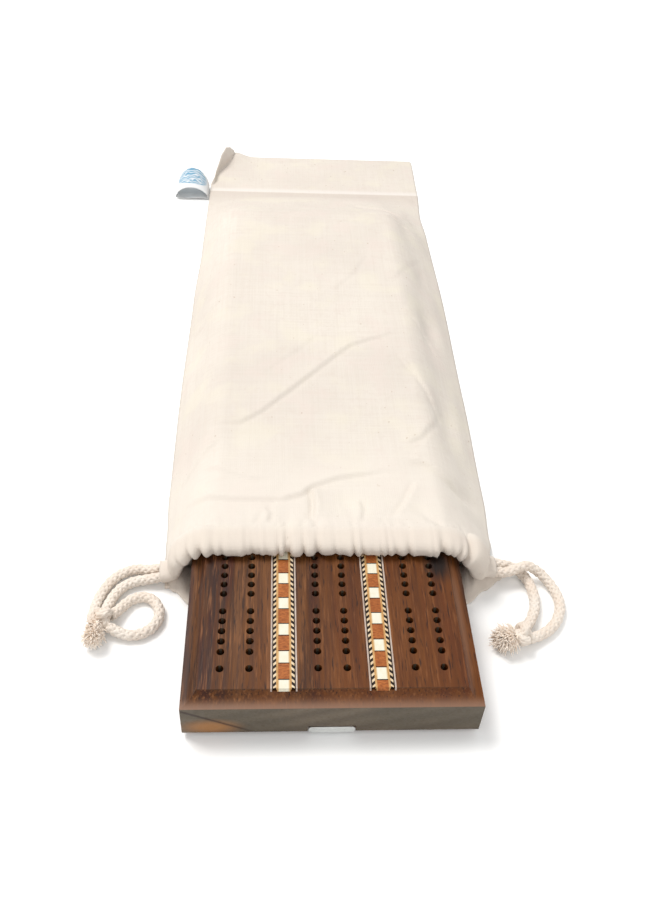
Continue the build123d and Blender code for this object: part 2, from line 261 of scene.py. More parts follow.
def long_grain(shader, streaks, pores):
    """Brown wood with darker streaks and pores that run along the board."""
    drift = shader.noise((16, 3, 16), detail=2)
    broad = shader.noise((85, 5, 60), distortion=0.5)
    fine = shader.noise((1100, 60, 1100), roughness=0.6)
    wood = shader.ramp(
        broad,
        (0.30, wood_tone(80, 50, 33)),
        (0.44, wood_tone(108, 71, 47)),
        (0.58, wood_tone(126, 86, 58)),
        (0.72, wood_tone(150, 108, 78)),
    )
    dark_streaks = shader.ramp(streaks, (0.36, (0.36, 0.30, 0.27, 1)), (0.60, (1.0, 1.0, 1.0, 1)))
    wood = shader.mix(0.95, wood, dark_streaks, "MULTIPLY")
    wood = shader.mix(shader.step(fine, 0.50, 0.72, 0.0, 0.45), wood, wood_tone(178, 122, 82))
    wood = shader.mix(shader.step(drift, 0.42, 0.66, 0.0, 0.4), wood, wood_tone(140, 84, 50))
    return shader.mix(shader.step(pores, 0.58, 0.70, 0.0, 0.7), wood, wood_tone(52, 32, 22))


def board_marks(shader, wood):
    """The dark knot by the bag's mouth, a dark run down the left cove, a painted highlight and painted
    shade down the right cove, and a painted highlight on the near cove.
    """
    for centre, size, soft, strength, tone in (
        ((47, -118, BOARD_TOP), (9, 14, 8), 0.2, 0.92, (48, 36, 34)),
        # Painted highlight along the inner edge of the right cove.
        ((53.5, -145, BOARD_TOP - 2), (2.6, 46, 6), 0.2, 0.45, (164, 120, 92)),
        # Painted shade down the outer, steeper part of the right cove.
        ((57.5, -120, BOARD_TOP - 5), (3.5, 40, 9), 0.2, 0.75, (52, 36, 30)),
        ((-57.5, -130, BOARD_TOP - 6), (3.0, 80, 6), 0.3, 0.55, (74, 48, 36)),
    ):
        wood = shader.tint(wood, wood_tone(*tone), blob(shader, centre, size, soft), strength)
    _, y, z = shader.axes()
    # Painted highlight on the lower part of the near cove.
    cove = shader.step(y, NEAR_END * MM, (NEAR_END + 5) * MM, 1.0, 0.0)
    cove_highlight_height = shader.step(z, (BOARD_TOP - 4.4) * MM, (BOARD_TOP - 1.0) * MM, 1.0, 0.0)
    return shader.tint(wood, wood_tone(158, 124, 104), shader.maths("MULTIPLY", cove, cove_highlight_height), 0.85)


def end_grain(shader):
    """Grey-brown end wood with faint rings, a sapwood corner and a dark slanting vein beside it."""
    x, _, z = shader.axes()
    rings = shader.wave(38, "Z", distortion=4.5, detail_scale=0.5, stretch=(1, 0, 1), turn=(0, 0.35, 0))
    specks = shader.noise((900, 900, 1500))
    drift = shader.noise((30, 30, 60), detail=2)
    wood = shader.ramp(rings, (0.0, wood_tone(112, 101, 88)), (1.0, wood_tone(125, 113, 98)))
    wood = shader.mix(shader.step(drift, 0.35, 0.65, 0.0, 0.6), wood, wood_tone(104, 97, 85))
    wood = shader.mix(shader.step(specks, 0.5, 0.7, 0.0, 0.35), wood, wood_tone(90, 78, 66))
    sap = blob(shader, (-46, NEAR_END, 6.5), (15, 6, 7), 0.15)
    wood = shader.tint(wood, wood_tone(190, 134, 84), sap, 0.8)
    slant = shader.maths("ADD", shader.maths("MULTIPLY", x, 0.55), z)
    from_vein = shader.maths("ABSOLUTE", shader.maths("ADD", slant, 0.0136), 0)
    vein = shader.step(from_vein, 0.0, 0.0013, 0.75, 0.0)
    left_part = shader.step(x, -0.036, -0.026, 1.0, 0.0)
    return shader.tint(wood, wood_tone(66, 50, 40), vein, left_part)


def walnut():
    shader = Shader("oiled_walnut", roughness=0.5, specular=0.25)
    streaks = shader.noise((480, 22, 480), detail=4, roughness=0.65)
    pores = shader.noise((1300, 110, 1300), detail=2, roughness=0.5)
    facing = shader.add("SeparateXYZ", Vector=shader.add("NewGeometry").outputs["Normal"])
    end_on = shader.step(shader.maths("ABSOLUTE", facing.outputs["Y"], 0), 0.90, 0.98)
    long_wood = board_marks(shader, long_grain(shader, streaks, pores))
    shader.colour(shader.mix(end_on, long_wood, end_grain(shader)))
    shader.roughness(shader.step(streaks, 0.3, 0.7, 0.44, 0.6))
    shader.bump(pores, -0.00008, 0.6)
    return shader.material


def veneer(name, dark, light, roughness=0.4, grain=(260, 60, 260)):
    """Fine straight-grained wood for a lacquered inlay."""
    shader = Shader(name, roughness=roughness, specular=0.22)
    fibres = shader.noise(grain, scale=4.0)
    patch = shader.noise((60, 130, 60), detail=1)
    wood = shader.ramp(fibres, (0.32, dark), (0.68, light))
    shader.colour(shader.mix(shader.step(patch, 0.35, 0.65, 0.0, 0.35), wood, dark))
    shader.bump(fibres, 0.00002, 0.5)
    return shader.material


def bordered_ivory(middles, half_width):
    """Ivory-coloured tiles whose long sides shade into the amber line beside them."""
    shader = Shader("ivory_tile", roughness=0.35, specular=0.25)
    x = shader.axes()[0]
    grain = shader.noise((400, 200, 400), scale=2.0, detail=2)
    tile = shader.ramp(grain, (0.3, seen(250, 243, 216)), (0.7, seen(255, 251, 232)))
    gaps = [shader.maths("ABSOLUTE", shader.maths("SUBTRACT", x, middle * MM), 0) for middle in middles]
    gap = shader.maths("MINIMUM", *gaps)
    side = shader.step(gap, (half_width - 0.55) * MM, (half_width - 0.2) * MM, 0.0, 0.8)
    shader.colour(shader.mix(side, tile, seen(228, 190, 132)))
    return shader.material


def metal(name, colour, roughness, brushing=(3000, 60, 3000)):
    """Drawn or turned metal with fine lines along one direction."""
    shader = Shader(name, roughness=roughness, metallic=1.0)
    lines = shader.noise(brushing, detail=2)
    smudge = shader.noise((90, 90, 90))
    dull = tuple(value * 0.8 for value in colour[:3]) + (1.0,)
    shader.colour(shader.mix(shader.step(smudge, 0.35, 0.75), colour, dull))
    shader.roughness(shader.step(lines, 0.3, 0.7, roughness * 0.8, roughness * 1.3))
    shader.bump(lines, 0.00001, 0.4)
    return shader.material


def muslin():
    """Unbleached plain weave with slubs and a few seed flecks, warmer at the mouth, with painted shade and
    a painted highlight at the fold across the tail.
    """
    shader = Shader("unbleached_muslin", roughness=0.95, specular=0.08)
    shader.fill(shader.surface, Sheen_Weight=0.06, Sheen_Roughness=0.5)
    warp = shader.wave(340, "X", distortion=0.6, detail_scale=2)
    weft = shader.wave(330, "Y", distortion=0.6, detail_scale=2)
    slub_along = shader.noise((1300, 26, 300), detail=2)
    slub_across = shader.noise((26, 1300, 300), detail=2)
    slubs = shader.maths("ADD", slub_along, slub_across)
    cloud = shader.noise((16, 16, 16), detail=4)
    mottle = shader.noise((260, 260, 260))
    flecks = shader.noise((520, 380, 520), detail=1, roughness=0.4)
    warmth = shader.noise((42, 42, 42))
    y = shader.axes()[1]
    cloth = shader.ramp(cloud, (0.32, seen(238, 228, 217)), (0.68, seen(247, 238, 226)))
    for mask, tone in (
        (shader.step(slubs, 0.85, 1.25, 0.0, 0.3), (229, 217, 203)),
        (shader.step(mottle, 0.5, 0.75, 0.0, 0.3), (232, 218, 206)),
        (shader.step(flecks, 0.755, 0.80, 0.0, 0.5), (186, 160, 134)),
        (shader.step(warmth, 0.50, 0.68, 0.0, 0.4), (249, 241, 221)),
        (shader.step(warmth, 0.34, 0.48, 0.35, 0.0), (244, 228, 218)),
        (shader.step(y, -0.075, -0.03, 0.55, 0.0), (253, 244, 232)),
        (shader.step(y, -0.109, -0.102, 0.5, 0.0), (238, 223, 208)),
    ):
        cloth = shader.mix(mask, cloth, seen(*tone))
    # Painted shade on the cloth just before the tail fold.
    fold_shade = stripe(shader, y, TAIL_FOLD, (-23.5, -1.0), (-1.0, 0.5))
    cloth = shader.tint(cloth, seen(222, 209, 198), fold_shade, 0.55)
    # Painted highlight along the tail fold's ridge.
    fold_highlight = stripe(shader, y, TAIL_FOLD, (-0.5, 1.0), (1.5, 7.5))
    cloth = shader.tint(cloth, seen(254, 247, 240), fold_highlight, 0.7)
    shader.colour(cloth)
    threads = shader.maths("MULTIPLY", shader.maths("ADD", warp, weft), 0.35)
    shader.bump(shader.maths("ADD", threads, shader.maths("ADD", slubs, mottle)), 0.00012, 0.5)
    return shader.material


def cotton_cord(name, lift):
    """Plaited cotton; lift brightens it to make up for the light lost between its strands."""
    shader = Shader(name, roughness=0.95, specular=0.08)
    shader.fill(shader.surface, Sheen_Weight=0.1)
    fibres = shader.noise((1400, 1400, 1400), detail=4)
    cloud = shader.noise((120, 120, 120), detail=2)
    plain, bright, deep = [
        tuple(min(lift * value, 0.92) for value in seen(*tone)[:3]) + (1.0,)
        for tone in ((250, 234, 218), (255, 245, 233), (238, 218, 198))
    ]
    cotton = shader.ramp(cloud, (0.3, plain), (0.7, bright))
    shader.colour(shader.mix(shader.step(fibres, 0.55, 0.75, 0.0, 0.35), cotton, deep))
    shader.bump(fibres, 0.00015, 0.5)
    return shader.material


def label_tape():
    """White woven tape with a plain blue printed patch of small waves."""
    shader = Shader("label_tape", roughness=0.8, specular=0.1)
    print_patch = blob(shader, (-82.0, 248.5, 11.0), (12.0, 8.4, 9.5), 0.85)
    waves = shader.wave(150, "Y", distortion=8.0, detail_scale=1.8)
    ink = shader.maths("MULTIPLY", print_patch, shader.step(waves, 0.3, 0.6, 0.1, 0.95))
    shader.colour(shader.mix(ink, seen(254, 255, 255), seen(118, 176, 208)))
    shader.bump(shader.wave(900, "Y"), 0.00005, 0.4)
    return shader.material


def steel_and_pegs():
    """The metals, by the start of the names of the nodes that they are for."""
    return {
        "peg_cover": metal("brushed_steel", (0.86, 0.87, 0.85, 1), 0.3, brushing=(40, 3000, 3000)),
        "peg_brass": metal("turned_brass", (0.68, 0.43, 0.13, 1), 0.22),
        "peg_nickel": metal("turned_nickel", (0.66, 0.64, 0.60, 1), 0.18),
        "peg_black": metal("black_oxide", (0.02, 0.02, 0.022, 1), 0.36),
    }


def paint(node, material):
    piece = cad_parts[node]
    piece.data.materials.clear()
    piece.data.materials.append(material)


# ================================================================ mesh helpers
def make_piece(name, points, faces, material, body, smooth=True):
    """A mesh piece from points in millimetres; faces may be lists of different lengths."""
    mesh = bpy.data.meshes.new(name)
    mesh.from_pydata([tuple(value * MM for value in point) for point in points], [], faces)
    mesh.validate()
    if smooth:
        mesh.shade_smooth()
    piece = add_object(name, mesh)
    mesh.materials.append(material)
    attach(piece, body)
    return piece


def grid_faces(rows, columns):
    corners = [row * columns + column for row in range(rows - 1) for column in range(columns - 1)]
    return [[corner, corner + 1, corner + columns + 1, corner + columns] for corner in corners]


def ring_faces(rings, sides, base=0):
    """Faces between the rings of a tube whose first point is number base."""
    faces = []
    for start in range(base, base + (rings - 1) * sides, sides):
        for side in range(sides):
            a, b = start + side, start + (side + 1) % sides
            faces.append([a, b, b + sides, a + sides])
    return faces


def tube(points, faces, line, radius, sides):
    """Add a round tube along a line to a growing mesh; radius may be a function of the share walked."""
    base = len(points)
    count = len(line)
    up = Vector((0, 0, 1))
    for index, centre in enumerate(line):
        run = (line[min(index + 1, count - 1)] - line[max(index - 1, 0)]).normalized()
        side = run.cross(up)
        side = side.normalized() if side.length > 1e-4 else Vector((1, 0, 0))
        over = side.cross(run)
        size = radius(index / (count - 1)) if callable(radius) else radius
        for k in range(sides):
            angle = tau * k / sides
            points.append(tuple(centre + (side * cos(angle) + over * sin(angle)) * size))
    faces += ring_faces(count, sides, base)
    faces.append([base + k for k in range(sides - 1, -1, -1)])
    faces.append([base + (count - 1) * sides + k for k in range(sides)])


def thicken(piece, thickness, offset=-1.0):
    modifier = piece.modifiers.new("cloth_thickness", "SOLIDIFY")
    modifier.thickness = thickness * MM
    modifier.offset = offset
    modifier.use_even_offset = True


def blend_step(value, low, high):
    """0 below low, 1 above high, smooth between."""
    part = min(max((value - low) / (high - low), 0.0), 1.0)
    return part * part * (3 - 2 * part)


def soft_min(first, second, reach):
    """The smaller of two heights, rounded where they cross within reach of each other."""
    part = max(reach - abs(first - second), 0.0) / reach
    return min(first, second) - part * part * reach / 4


def ripple(x, y, seed):
    """Smooth noise, about -1 to 1."""
    return noise.noise(Vector((x, y, seed)))


def along(stops, value):
    """Look-up in a short list of (position, value) pairs, with a smooth change from each to the next."""
    for (low, start), (high, end) in zip(stops, stops[1:]):
        if value <= high:
            return start + (end - start) * blend_step(value, low, high)
    return stops[-1][1]


# ================================================================ board: rope marquetry
ROPE_PITCH = 2.54
ROPE_SLANT = 1.0
ROPE_END = FAR_END - 6.0
ROPE_BLACK_EDGE = 0.42
ROPE_AMBER_EDGE = 0.38
CREAM_SHARE = 0.46


def prism(points, faces, outline, bottom, top):
    """Add an upright prism on a four-sided outline to a growing mesh."""
    base = len(points)
    points += [(x, y, bottom) for x, y in outline] + [(x, y, top) for x, y in outline]
    faces += [[base + k for k in (3, 2, 1, 0)], [base + k for k in (4, 5, 6, 7)]]
    faces += [[base + k, base + (k + 1) % 4, base + 4 + (k + 1) % 4, base + 4 + k] for k in range(4)]


def rope_marquetry(side, materials):
    """Cream slivers between black ones, slanting up towards the tiles, in one banding's rope bands."""
    (left, _, bottom), (right, _, top) = node_box(f"{side}_rope_bands")
    (amber_left, _, _), (amber_right, _, _) = node_box(f"{side}_amber_lines")
    meshes = {tone: ([], []) for tone in materials}
    for outer, inner, sign in ((left, amber_left, 1), (right, amber_right, -1)):
        black_x = outer + sign * ROPE_BLACK_EDGE
        amber_x = inner - sign * ROPE_AMBER_EDGE
        for tone, edges in (("black", (outer, black_x)), ("amber", (amber_x, inner))):
            low_x, high_x = sorted(edges)
            outline = [(low_x, -ROPE_END), (high_x, -ROPE_END), (high_x, ROPE_END), (low_x, ROPE_END)]
            prism(*meshes[tone], outline, bottom, top)
        low_x, high_x = sorted((black_x, amber_x))
        lean = sign * ROPE_SLANT / 2
        leans = ((low_x, -lean), (high_x, lean), (high_x, lean), (low_x, -lean))
        slivers = (("cream", 0.0, CREAM_SHARE), ("black", CREAM_SHARE, 1 - CREAM_SHARE))
        for index in range(-1, int(2 * ROPE_END / ROPE_PITCH) + 1):
            for tone, start, share in slivers:
                near = -ROPE_END + (index + start) * ROPE_PITCH
                far = near + share * ROPE_PITCH
                corners = [(x, y + shift) for (x, shift), y in zip(leans, (near, near, far, far))]
                outline = [(x, min(max(y, -ROPE_END), ROPE_END)) for x, y in corners]
                if max(y for _, y in outline) - min(y for _, y in outline) > 0.01:
                    prism(*meshes[tone], outline, bottom, top)
    for tone, (points, faces) in meshes.items():
        piece = make_piece(
            f"{side}_rope_{tone}", points, faces, materials[tone], "board", smooth=False)
        if tone == "black":
            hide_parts(f"{side}_rope_bands")


def finish_board():
    paint("board_body", walnut())
    holly = veneer("holly_stringing", seen(192, 170, 154), seen(226, 210, 198))
    amber = veneer("amber_line", seen(196, 144, 82), seen(232, 186, 124))
    brown = veneer("brown_tile", seen(150, 82, 40), seen(206, 122, 62), 0.35, grain=(200, 500, 200))
    black = veneer("black_fillet", seen(26, 14, 6), seen(48, 28, 14))
    cream = veneer("cream_sliver", seen(232, 200, 156), seen(254, 236, 204))
    middles = [sum(box[0] for box in node_box(f"{side}_ivory_tiles")) / 2 for side in ("left", "right")]
    tile_low, tile_high = node_box("left_ivory_tiles")
    ivory = bordered_ivory(middles, (tile_high[0] - tile_low[0]) / 2)
    for side in ("left", "right"):
        for kind, material in (
            ("stringing", holly), ("amber_lines", amber), ("ivory_tiles", ivory),
            ("brown_tiles", brown), ("dark_fillets", black),
        ):
            paint(f"{side}_{kind}", material)
        rope_marquetry(side, {"cream": cream, "black": black, "amber": amber})
    for start, material in steel_and_pegs().items():
        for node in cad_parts:
            if node.startswith(start):
                paint(node, material)


# ================================================================ bag: shape of the cloth
CLOTH = 0.5
# How far the rounded cove edge reaches in from the board's sides and ends.
COVE = 5.5
PLATEAU = BOARD_TOP + 1.5
CLOSEST = BOARD_TOP + 0.7
MOUTH = node_box("bag_upper_casing")[1][1]
TAIL_FOLD = 249.5
BAG_END = node_box("bag_top_panel")[1][1]
SEAM_LIFT = 0.95
LEFT_SEAM = [
    (-102, -70.5), (-88, -71.6), (-60, -72.8), (12, -73.3), (107, -72.4), (165, -70.8), (247, -70.2),
    (288, -69.8), (297, -68.0), (302, -64.8), (306, -58.5),
]
RIGHT_SEAM = [
    (-102, 75.5), (-88, 78.5), (-61, 80.0), (15, 81.4), (112, 82.6), (190, 81.8), (216, 80.6), (254, 82.6),
    (303, 83.4), (306, 82.0),
]

# Each crease: the line it follows, how high its crest stands, and how wide its slack side is.
CREASES = [
    ([(-56, -31), (-39, -31), (-30, -24), (-13, -5), (7, 20), (18, 32), (37, 41), (48, 48)], 1.0, 7.0),
    ([
        (-67, -78), (-56, -81), (-42, -84), (-19, -84), (-11, -81), (-5, -75), (6, -70), (27, -65),
        (40, -64),
    ], 1.25, 5.0),
    ([(-57, -60), (-46, -65), (-34, -70), (-22, -71)], 0.8, 4.0),
    ([(-68, -63), (-57, -51), (-48, -43)], 0.9, 4.0),
    ([(-68, 60), (-60, 70), (-51, 80)], 0.7, 5.0),
    ([(-5, -76), (-4, -88), (-5, -101)], 2.3, 4.5),
    ([(43, -72), (37, -85), (29, -99)], 1.3, 4.5),
    ([(43, 26), (50, 12), (58, -6), (64, -30)], 1.2, 8.0),
    ([(40, -56), (48, -60), (58, -67), (72, -73)], 1.4, 6.0),
    ([(40, -46), (48, -42), (57, -28), (62, -8)], 0.9, 7.0),
    ([(46, 96), (54, 110), (63, 128), (74, 152)], 0.4, 7.0),
    ([(48, 66), (56, 62), (64, 50), (70, 34)], 0.8, 6.0),
    ([(50, 183), (59, 178), (74, 167)], 0.9, 5.0),
    ([(14, -101), (16, -92), (15, -84)], 1.0, 3.5),
    ([(-26, -101), (-25, -94), (-27, -88)], 1.0, 3.0),
    ([(30, 217), (45, 208), (60, 199), (77, 191)], 1.0, 5.0),
    ([(-30, 6), (-12, 26), (2, 44)], 0.3, 8.0),
    ([(10, 84), (24, 104), (34, 128)], 0.3, 9.0),
]
# Hollows where the cloth sags: middle, half widths and depth.
DIPS = [
    (65, -18, 7, 14, 3.2), (48, 12, 5, 10, 0.8), (46, -61, 6, 9, 0.8), (66, -70, 8, 5, 2.6),
    (68, 119, 6, 12, 2.2), (67, 65, 6, 15, 2.4), (-66, 40, 5, 22, 1.4), (-65, -40, 5, 14, 1.4),
]
STITCH_Y = MOUTH - 2.6
STITCH_LENGTH = 2.1
STITCH_PITCH = 3.0
CASING_Y = (node_box("bag_upper_casing")[0][1] + MOUTH) / 2
CASING_ROUTE = [
    (-71.0, 5.4), (-65.5, 7.5), (-63.0, 18.0), (-54.5, 26.4),
    (54.5, 26.4), (63.0, 18.0), (66.0, 11.0), (75.0, 8.5),
]
CASING_BEND = 12.0
# Half height of the casing where it is full, and the thickness of its cloth.
CASING_FULL = 3.9
CASING_CLOTH = 0.35
CASING_CREST = max(z for _, z in CASING_ROUTE) + CASING_FULL + CASING_CLOTH
# The two cords inside the casing: from middle to middle, and the room that each keeps round itself.
CORD_PAIR = 5.0
CORD_REACH = 2.6
CASING_STEP = 0.8


def rounded_route(corners, bend):
    """Points along a run of straights whose corners are rounded, closely spaced."""
    corners = [Vector(corner) for corner in corners]
    points = [corners[0]]
    for before, here, after in zip(corners, corners[1:], corners[2:]):
        turn = (here - before).angle(after - here)
        shorter = min((here - before).length, (after - here).length)
        reach = min(bend * tan(turn / 2), 0.45 * shorter)
        start = here + (before - here).normalized() * reach
        end = here + (after - here).normalized() * reach
        for step in range(13):
            part = step / 12
            points.append(start.lerp(here, part).lerp(here.lerp(end, part), part))
    return points + [corners[-1]]


def even_points(points, spacing):
    """The same line, divided into equal steps of about the given spacing."""
    lengths = [0.0]
    for here, after in zip(points, points[1:]):
        lengths.append(lengths[-1] + (after - here).length)
    count = max(int(round(lengths[-1] / spacing)), 2)
    result, index = [], 0
    for step in range(count + 1):
        target = lengths[-1] * step / count
        while index < len(points) - 2 and lengths[index + 1] < target:
            index += 1
        span = max(lengths[index + 1] - lengths[index], 1e-9)
        result.append(points[index].lerp(points[index + 1], min((target - lengths[index]) / span, 1.0)))
    return result


CASING_CORNERS = [(x, CASING_Y, z) for x, z in CASING_ROUTE]
CASING_LINE = even_points(rounded_route(CASING_CORNERS, CASING_BEND), CASING_STEP)
CASING_LENGTH = CASING_STEP * (len(CASING_LINE) - 1)
CASING_START_X = -CASING_STEP * min(range(len(CASING_LINE)), key=lambda index: abs(CASING_LINE[index].x))
GATHER_RNG = random.Random(11)
# The deepest gathers: x, depth, half width, reach back and lean.
DEEP_GATHERS = [
    (-54, 2.4, 1.5, 8, 0.4), (-17, 3.0, 1.5, 6, 0.1), (-4, 1.6, 1.6, 14, 0), (49, 3.2, 1.6, 9, -0.7),
]


def make_gathers():
    """Folds drawn together by the cord: (place along the casing, depth, half width, reach back, lean)."""
    gathers, place = [], 7.0
    while place < CASING_LENGTH - 22.0:
        gathers.append((
            place,
            GATHER_RNG.choice((0.6, 0.9, 1.3, 1.8, 2.6)),
            GATHER_RNG.uniform(0.8, 1.5),
            GATHER_RNG.choice((4.0, 6.0, 9.0, 16.0)),
            GATHER_RNG.uniform(-0.5, 0.5),
        ))
        place += GATHER_RNG.choice((2.6, 3.6, 5.5, 8.0, 10.5))
    for x, depth, width, reach, lean in DEEP_GATHERS:
        gathers.append((x - CASING_START_X, depth, width, reach, lean))
    return gathers


GATHERS = make_gathers()


def casing_swell(place):
    """How far the casing's cloth stands out beyond its even round section, at a place along it."""
    return 1.2 * ripple(place / 8.0, 0.2, 15.5), 0.3 * ripple(place / 1.9, 0.4, 6.6)


def gather_depth(place, back):
    """Depth of the gathers, at a place along the casing and a distance back from its stitches."""
    depth = 0.0
    for middle, amount, width, reach, lean in GATHERS:
        fade = exp(-back / reach)
        off = (place - middle - lean * back) / (width * (1 + 0.05 * back))
        depth += amount * fade * (exp(-off * off) - 0.35 * exp(-((abs(off) - 2.0) / 1.1) ** 2))
    return depth


def crest_height(y):
    """Height of the cloth along the board's middle, down to the flat tail."""
    past_edge = y - (FAR_END - COVE)
    span = TAIL_FOLD - (FAR_END - COVE)
    fall = PLATEAU - (PLATEAU - SEAM_LIFT) * past_edge / span
    if 0 < past_edge < span:
        fall -= 2.6 * sin(pi * past_edge / span)
    return max(soft_min(PLATEAU, fall, 9.0), SEAM_LIFT)


def crease_height(x, y):
    """Each crease stands up along its line, drops sharply on one side and eases off on the other."""
    height = 0.0
    for line, crest, slack_side in CREASES:
        reach = 2.6 * slack_side
        if not (min(p[0] for p in line) - reach < x < max(p[0] for p in line) + reach):
            continue
        if not (min(p[1] for p in line) - reach < y < max(p[1] for p in line) + reach):
            continue
        best, side, part = 1e9, 1, 0.0
        for index, ((ax, ay), (bx, by)) in enumerate(zip(line, line[1:])):
            dx, dy = bx - ax, by - ay
            t = min(max(((x - ax) * dx + (y - ay) * dy) / (dx * dx + dy * dy), 0), 1)
            gap = sqrt((x - ax - t * dx) ** 2 + (y - ay - t * dy) ** 2)
            if gap < best:
                best = gap
                side = 1 if dx * (y - ay) - dy * (x - ax) > 0 else -1
                part = (index + t) / (len(line) - 1)
        fade = blend_step(part, 0, 0.18) * blend_step(1 - part, 0, 0.25)
        if side > 0:
            height += fade * crest * exp(-best / slack_side) * blend_step(best, -1.2, 0.9)
        else:
            ridge = exp(-((best + 0.2) / 0.9) ** 2) * 0.55
            trough = 0.45 * exp(-((best - 1.7) / 1.1) ** 2)
            height += fade * crest * (ridge - trough)
    return height


def board_clearance(x, y):
    """Lowest height of the upper panel over the board's flat top and cove edges, or over the table."""
    past = max(abs(x) - (SIDE - COVE), y - (FAR_END - COVE), 0)
    return CLOSEST - 0.66 * past if past < 6.2 else SEAM_LIFT - 0.1


def panel_point(share, y):
    """One point of the upper panel: the share runs from the left seam to the right one."""
    left, right = along(LEFT_SEAM, y), along(RIGHT_SEAM, y)
    lift = SEAM_LIFT + 3.5 * blend_step(-y, 84, 102)
    crest = crest_height(y)
    x = left + (right - left) * share
    left_leg = lift + (x - left) * (crest - lift) / (-54.4 - left)
    right_leg = lift + (right - x) * (crest - lift) / (right - 54.6)
    z = soft_min(soft_min(crest, left_leg, 12.0), right_leg, 5.0)
    height = blend_step(z, 2.0, 9.0)
    behind_mouth = max(y - MOUTH, 0)
    z += 4.6 * exp(-behind_mouth / 11.0) * height
    slack = 0.7 * (1 + ripple(x / 40, y / 52, 1.7)) * blend_step(crest, 15, 23)
    slack += 0.35 * ripple(x / 13, y / 17, 12.7)
    slack += 2.4 * ripple(x / 18, y / 30, 5.2) * blend_step(abs(x), 57, 66)
    slack += 1.0 * (0.3 + ripple(x / 24, y / 26, 8.8)) * exp(-((abs(x) - 52) / 6) ** 2)
    tail_wave = 0.5 * (1 + ripple(x / 26, y / 20, 9.4)) * (1 - blend_step(crest, 2, 9))
    from_seam = min(x - left, right - x)
    tail_wave *= blend_step(from_seam, 0, 8)
    from_fold = y - TAIL_FOLD - 1.2 * ripple(x / 40, 0, 2.0)
    tail_ridge = 2.3 * exp(-abs(from_fold) / (1.1 if from_fold < 0 else 6.0))
    hem = 0.9 * exp(-((y - BAG_END + 2.2) / 1.6) ** 2)
    z += slack * height + tail_wave + (tail_ridge + hem) * blend_step(from_seam, 0, 5)
    z += crease_height(x, y) * max(height, 0.35)
    for dip_x, dip_y, wide, long, depth in DIPS:
        z -= depth * exp(-((x - dip_x) / wide) ** 2 - ((y - dip_y) / long) ** 2)
    place = x - CASING_START_X
    z -= 0.3 * gather_depth(place, behind_mouth) * max(height, 0.3)
    on_board = 1 - blend_step(abs(x), 47, 53)
    over_casing = blend_step(MOUTH + 2.0 - y, 0, 9) * on_board
    swell, fine = casing_swell(place)
    casing_top = CASING_CREST + 0.5 * swell - fine - 0.2 * gather_depth(place, 0)
    z += over_casing * (casing_top - 0.3 * blend_step(MOUTH - 6.0 - y, 0, 2) - z)
    z -= 0.35 * exp(-((y - STITCH_Y) / 0.9) ** 2) * on_board
    return fold_ear(x, y, max(z, board_clearance(x, y)))


EAR_FOLD = [(246, -70.6), (270, -66.0), (306, -53.5)]


def fold_ear(x, y, z):
    """The far left corner stands up in a small rounded ear, and lifts the end seam beside it."""
    if y < EAR_FOLD[0][0]:
        return x, y, z
    fold = along(EAR_FOLD, y)
    beyond = fold - x
    beside = 3.6 * exp(-((x - fold) / 8.0) ** 2) * blend_step(y, 284, 306)
    if beyond <= 0:
        return x, y, z + beside
    turn = radians(70) * blend_step(beyond, 0, 3.5)
    curl = 0.6 * sin(beyond / 3.0)
    z += beside * exp(-beyond / 5) + beyond * sin(turn)
    return fold - beyond * cos(turn) + curl, y - 0.12 * beyond, z


def cloth_grid(name, rows, columns, point):
    down, over = range(rows), range(columns)
    points = [point(row / (rows - 1), column / (columns - 1)) for row in down for column in over]
    return make_piece(name, points, grid_faces(rows, columns), MUSLIN, "bag")


def upper_panel():
    """The cloth over the board, from the casing to the closed end."""
    def point(length_share, width_share):
        return panel_point(width_share, MOUTH - 8.0 + (BAG_END - MOUTH + 7.6) * length_share)

    piece = cloth_grid("bag_upper_cloth", 321, 141, point)
    thicken(piece, CLOTH)
    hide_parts("bag_top_panel")


def lower_panel():
    """The cloth under the board, just clear of the table."""
    def point(length_share, width_share):
        y = MOUTH - 0.5 + (BAG_END - MOUTH) * length_share
        left, right = along(LEFT_SEAM, y), along(RIGHT_SEAM, y)
        x = left + (right - left) * width_share
        under_board = abs(x) < SIDE + 2 and y < FAR_END + 2
        z = 0.5 if under_board else 0.5 + 0.12 * (1 + ripple(x / 9, y / 14, 2.2))
        return fold_ear(x, y, z)

    piece = cloth_grid("bag_lower_cloth", 205, 66, point)
    thicken(piece, 0.4)
    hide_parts("bag_bottom_panel")


# ================================================================ cord and casing lines
def smooth_route(corners, steps):
    """Points along a NURBS spline with the given corners, as Blender evaluates it, in millimetres."""
    curve = bpy.data.curves.new("route", "CURVE")
    curve.dimensions = "3D"
    curve.resolution_u = steps
    spline = curve.splines.new("NURBS")
    spline.points.add(len(corners) - 1)
    for point, corner in zip(spline.points, corners):
        point.co = (*[value * MM for value in corner], 1)
    spline.order_u = 3
    spline.use_endpoint_u = True
    holder = add_object("route", curve)
    mesh = bpy.data.meshes.new_from_object(holder.evaluated_get(bpy.context.evaluated_depsgraph_get()))
    points = [vertex.co / MM for vertex in mesh.vertices]
    bpy.data.objects.remove(holder)
    bpy.data.curves.remove(curve)
    bpy.data.meshes.remove(mesh)
    return points


# ================================================================ bag: casings
def rounded(value, power):
    """A sine or cosine pushed outwards, which squares off the round section it is used in."""
    return abs(value) ** power * (1 if value > 0 else -1)


